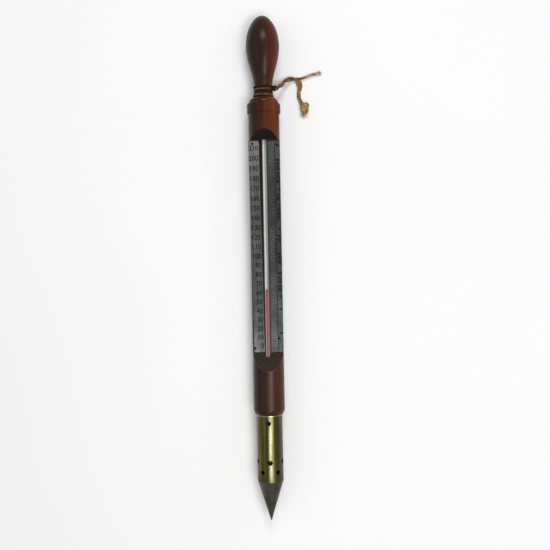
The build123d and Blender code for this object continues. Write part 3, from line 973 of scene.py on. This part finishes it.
ENGRAVED_DEPTH = 0.14 * MM
EDGE_BEVEL = 0.06 * MM
CORNER_RADIUS = 0.8 * MM
ZERO_Y = tip_y + 131.5 * MM
DEGREE_LENGTH = 0.6403 * MM
DEGREE_GROWTH = 0.00031 * MM
LAST_DEGREE = 210
FIGURE_LIFT = 0.3 * MM
FIGURE_HEIGHT = 3.7 * MM
FIGURE_PITCH = 2.4 * MM
FIGURE_MARGIN = 0.6 * MM
STROKE_GAIN = 0.02  # added on each side of a figure's strokes, as a share of its height
STRIP_LENGTH = 158.4 * MM
STRIP_MIDDLE_Y = tip_y + 206.2 * MM
LEFT_HALF_WIDTH = 3.95 * MM
RIGHT_HALF_WIDTH = 4.6 * MM
# Stations, in millimetres from the tip, where the outer band carries runs of punched marks, and wedges
PUNCHED_RUNS = (
    (172.0, 186.0), (193.0, 200.0), (209.5, 220.0), (226.0, 236.0), (240.5, 247.0), (253.5, 272.0)
)
WEDGES = (141.0, 158.9, 168.6, 218.8, 236.9, 248.6, 281.2)


def scale_y(degrees):
    """Where a reading stands along the instrument; the steps grow slightly upwards."""
    return ZERO_Y + DEGREE_LENGTH * degrees + DEGREE_GROWTH * degrees**2


def rectangle(x0, y0, x1, y1):
    return [(x0, y0), (x1, y0), (x1, y1), (x0, y1)]


def rounded(half_x, half_y, radius):
    """A rectangle round the origin with rounded corners."""
    points = []
    for side_x, side_y, first in ((1, 1, 0), (-1, 1, 90), (-1, -1, 180), (1, -1, 270)):
        for step in range(6):
            turn = math.radians(first + 18 * step)
            x = side_x * (half_x - radius) + radius * math.cos(turn)
            y = side_y * (half_y - radius) + radius * math.sin(turn)
            points.append((x, y))
    return points


def digit_loops(digit):
    """The loops that outline a digit, one high and centred on the origin, and its width."""
    font = bpy.data.curves.new("figure", "FONT")
    font.body = digit
    made = bpy.data.objects.new("figure", font)
    bpy.context.scene.collection.objects.link(made)
    bpy.context.view_layer.update()
    curve = made.to_curve(bpy.context.evaluated_depsgraph_get())
    loops = []
    for spline in curve.splines:
        beziers = spline.bezier_points
        loop = []
        for here, after in zip(beziers, [*beziers[1:], beziers[0]]):
            loop.extend(interpolate_bezier(here.co, here.handle_right, after.handle_left, after.co, 5)[:-1])
        loops.append(np.array([(p.x, p.y) for p in loop]))
    made.to_curve_clear()
    bpy.data.objects.remove(made)
    corners = np.concatenate(loops)
    low, high = corners.min(axis=0), corners.max(axis=0)
    tall = high[1] - low[1]
    shapes = [thickened((loop - (low + high) / 2) / tall, STROKE_GAIN) for loop in loops]
    return shapes, (high[0] - low[0]) / tall


def thickened(loop, distance):
    """A loop moved outwards; the loop of a hole runs the other way, so it closes in."""
    ahead = np.roll(loop, -1, axis=0) - np.roll(loop, 1, axis=0)
    ahead = ahead / np.maximum(np.linalg.norm(ahead, axis=1), 1e-9)[:, None]
    return loop + np.stack([ahead[:, 1], -ahead[:, 0]], axis=1) * distance


DIGITS = {digit: digit_loops(digit) for digit in "0123456789"}


def figure_loops(text, right, y):
    """The loops of a number whose right end is at x = right, centred on y."""
    loops = []
    for place, digit in enumerate(reversed(text)):
        shapes, width = DIGITS[digit]
        wide = min(FIGURE_HEIGHT, FIGURE_PITCH * 0.84 / width)
        centre = right - (place + 0.5) * FIGURE_PITCH
        for shape in shapes:
            loops.append([(centre + x * wide, y + v * FIGURE_HEIGHT) for x, v in shape])
    return loops


def strip_piece(name, node, half_width, middle_x, turn, marks, *materials):
    """A flat strip with the marks sunk into its face; marks are (loop, material number)."""
    low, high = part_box(node)
    half_length = STRIP_LENGTH / 2
    inner = rounded(half_width - EDGE_BEVEL, half_length - EDGE_BEVEL, CORNER_RADIUS - EDGE_BEVEL)
    outer = rounded(half_width, half_length, CORNER_RADIUS)
    loops = [inner] + [loop for loop, _ in marks]
    flat, rings = [], []
    for loop in loops:
        rings.append(list(range(len(flat), len(flat) + len(loop))))
        flat.extend(Vector(point) for point in loop)
    points, _, cells, _, _, owners = delaunay_2d_cdt(flat, [], rings, 1, 1e-7)

    vertices, faces, indices, known = [], [], [], {}

    def corner(x, y, z):
        key = (round(x * 1e8), round(y * 1e8), round(z * 1e8))
        if key not in known:
            known[key] = len(vertices)
            vertices.append((
                middle_x + x * math.cos(turn) - y * math.sin(turn),
                STRIP_MIDDLE_Y + x * math.sin(turn) + y * math.cos(turn),
                z,
            ))
        return known[key]

    edges = {}
    for cell, owner in zip(cells, owners):
        inside = [number for number in owner if number > 0]
        sunk = len(inside) % 2 == 1
        z = high.z - ENGRAVED_DEPTH if sunk else high.z
        faces.append([corner(*points[i], z) for i in cell])
        indices.append(marks[inside[0] - 1][1] if sunk else 0)
        for a, b in zip(cell, [*cell[1:], cell[0]]):
            edges[(a, b)] = sunk
    for (a, b), sunk in edges.items():
        if not sunk and edges.get((b, a)):
            top, floor = high.z, high.z - ENGRAVED_DEPTH
            faces.append([
                corner(*points[b], top), corner(*points[a], top),
                corner(*points[a], floor), corner(*points[b], floor),
            ])
            indices.append(0)
    for i in range(len(inner)):
        j = (i + 1) % len(inner)
        for (upper, z_up), (under, z_down) in (
            ((inner, high.z), (outer, high.z - EDGE_BEVEL)),
            ((outer, high.z - EDGE_BEVEL), (outer, low.z)),
        ):
            faces.append([
                corner(*upper[j], z_up), corner(*upper[i], z_up),
                corner(*under[i], z_down), corner(*under[j], z_down),
            ])
            indices.append(0)
    faces.append([corner(*point, low.z) for point in reversed(outer)])
    indices.append(0)
    piece = make_piece(name, vertices, faces, *materials, smooth=False, indices=indices)
    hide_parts(node)
    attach(piece, "case")


def figure_marks():
    """Numbers every ten degrees, right-aligned beside the slot."""
    marks = []
    right = LEFT_HALF_WIDTH - FIGURE_MARGIN
    for degrees in range(0, LAST_DEGREE + 1, 10):
        y = scale_y(degrees) + FIGURE_LIFT - STRIP_MIDDLE_Y
        marks.extend((loop, 1) for loop in figure_loops(str(degrees), right, y))
    return marks


def degree_marks():
    """Degree lines beside the slot, a long line, and punched marks along the outer band."""
    rng = np.random.default_rng(SEED + 51)
    marks = []
    start = 0.5 * MM - RIGHT_HALF_WIDTH
    line_x = 5.1 * MM - RIGHT_HALF_WIDTH
    half = 0.14 * MM
    for degrees in range(0, LAST_DEGREE + 1, 2):
        y = scale_y(degrees) - STRIP_MIDDLE_Y
        end = line_x - 0.3 * MM if degrees % 10 == 0 else start + 3.2 * MM
        marks.append((rectangle(start, y - half, end, y + half), 2))
    reach = STRIP_LENGTH / 2 - 1.5 * MM
    marks.append((rectangle(line_x, -reach, line_x + 0.45 * MM, reach), 1))
    for first, last in PUNCHED_RUNS:
        for station in np.arange(first, last, 3.3):
            if min(abs(station + 1 - wedge) for wedge in WEDGES) < 2.4:
                continue
            y = tip_y + station * MM - STRIP_MIDDLE_Y
            for step in range(rng.integers(2, 4)):
                low_x = line_x + rng.uniform(0.75, 1.3) * MM
                high_x = line_x + rng.uniform(3.0, 3.8) * MM
                low_y = y + step * 0.95 * MM
                marks.append((rectangle(low_x, low_y, high_x, low_y + 0.68 * MM), 1))
    for station in WEDGES:
        y = tip_y + station * MM - STRIP_MIDDLE_Y
        x = line_x + 0.8 * MM
        marks.append(([(x, y), (x + 2.9 * MM, y - 0.8 * MM), (x + 2.9 * MM, y + 0.8 * MM)], 1))
    return marks


strip_piece(
    "scale_strip_figures", "scale_plate_left", LEFT_HALF_WIDTH, -7.2 * MM, math.radians(0.67),
    figure_marks(), left_metal, dark_fill, bare_fill,
)
strip_piece(
    "scale_strip_degrees", "scale_plate_right", RIGHT_HALF_WIDTH, 7.0 * MM, 0.0,
    degree_marks(), right_metal, dark_fill, bare_fill,
)


# ---------------------------------------------------------------- glass and spirit column

BULB_SHOULDER = 17.5 * MM  # from the bulb's lower end
BULB_THROAT = 20.5 * MM


def glass_skin():
    """The glass's outer skin alone, so that light crosses few surfaces on its way to the backing."""
    bulb = (glass_high.x - glass_low.x) / 2
    turn = np.linspace(0.08, math.pi / 2, 10)
    shift = np.linspace(0, 1, 8)[1:]
    stations = np.concatenate([
        bulb * (1 - np.cos(turn)),
        [BULB_SHOULDER],
        BULB_SHOULDER + (BULB_THROAT - BULB_SHOULDER) * shift,
        np.linspace(BULB_THROAT, glass_high.y - glass_low.y, 60)[1:],
    ])
    narrowing = shift * shift * (3 - 2 * shift)
    radii = np.concatenate([
        bulb * np.sin(turn),
        [bulb],
        bulb + (STEM_RADIUS - bulb) * narrowing,
        np.full(59, STEM_RADIUS),
    ])
    count = len(stations)
    points = np.stack([np.zeros(count), glass_low.y + stations, np.full(count, stem_z)], axis=1)
    vertices, faces = tube(points, radii, 32)
    piece = make_piece("glass_skin", vertices, faces, clear_glass)
    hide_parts("glass_tube")
    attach(piece, "case")


def spirit_column():
    """The column as the round stem enlarges it, from the bulb to its top."""
    radius = (thread_high.x - thread_low.x) / 2
    rings = np.linspace(thread_low.y, thread_high.y, 140)
    points = np.stack([np.zeros(len(rings)), rings, np.full(len(rings), stem_z)], axis=1)
    vertices, faces = tube(points, np.full(len(rings), radius), 20)
    vertices[:, 0] *= COLUMN_REACH / radius
    piece = make_piece("spirit_column", vertices, faces, red_spirit)
    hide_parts("spirit_thread")
    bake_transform(piece)


glass_skin()
spirit_column()


# ---------------------------------------------------------------- floor

def add_floor():
    size = 3.0
    corners = [(-size, -size, 0), (size, -size, 0), (size, size, 0), (-size, size, 0)]
    floor = make_piece("floor", corners, [(0, 1, 2, 3)], floor_material(), smooth=False)


add_floor()
